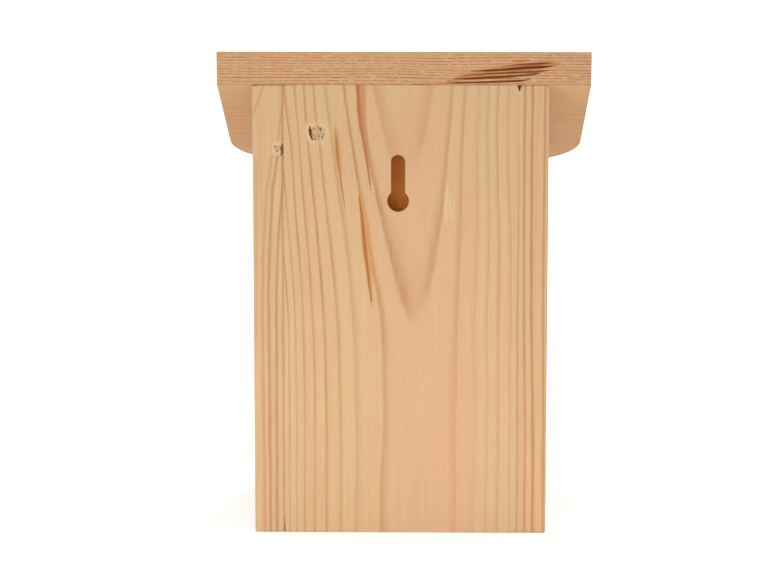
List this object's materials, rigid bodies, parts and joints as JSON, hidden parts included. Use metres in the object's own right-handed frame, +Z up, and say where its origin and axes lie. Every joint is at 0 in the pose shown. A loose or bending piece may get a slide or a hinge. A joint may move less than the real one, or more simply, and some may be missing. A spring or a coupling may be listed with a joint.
{
  "type": "bee hotel",
  "caption": "Wall-hung wooden bee hotel: a deep box under a forward-sloping roof with rounded front corners, holding bamboo nesting canes above a drilled block.",
  "frame": {"origin": "middle of the bounding box's footprint, on the surface that the box's bottom edges stand on", "axes": "+Z up, the open front with the nesting canes faces -Y, the back that goes against the wall faces +Y"},
  "size_m": [0.185, 0.14, 0.2443],
  "materials": {
    "pine": "untreated planed pine",
    "hardwood": "planed, untreated",
    "bamboo": "dried bamboo with a waxy skin",
    "zinc": "zinc plated"
  },
  "bodies": {
    "root": {"roof_board": "pine", "left_side_board": "pine", "right_side_board": "pine", "back_board": "pine", "floor_board": "pine", "shelf_board": "pine", "nesting_block": "hardwood", "roof_screws": "zinc", "left_side_screws": "zinc", "right_side_screws": "zinc", "block_screws": "zinc", "cane_01": "bamboo", "cane_02": "bamboo", "cane_03": "bamboo", "cane_04": "bamboo", "cane_05": "bamboo", "cane_06": "bamboo", "cane_07": "bamboo", "cane_08": "bamboo", "cane_09": "bamboo", "cane_10": "bamboo", "cane_11": "bamboo", "cane_12": "bamboo", "cane_13": "bamboo", "cane_14": "bamboo", "cane_15": "bamboo", "cane_16": "bamboo", "cane_17": "bamboo", "cane_18": "bamboo", "cane_19": "bamboo", "cane_20": "bamboo", "cane_21": "bamboo", "cane_22": "bamboo", "cane_23": "bamboo", "cane_24": "bamboo", "cane_25": "bamboo", "cane_26": "bamboo", "cane_27": "bamboo", "cane_28": "bamboo", "cane_29": "bamboo", "cane_30": "bamboo", "cane_31": "bamboo", "cane_32": "bamboo", "cane_33": "bamboo", "cane_34": "bamboo", "cane_35": "bamboo", "cane_36": "bamboo", "cane_37": "bamboo", "cane_38": "bamboo", "cane_39": "bamboo", "cane_40": "bamboo", "cane_41": "bamboo", "cane_42": "bamboo"}
  },
  "joints": []
}
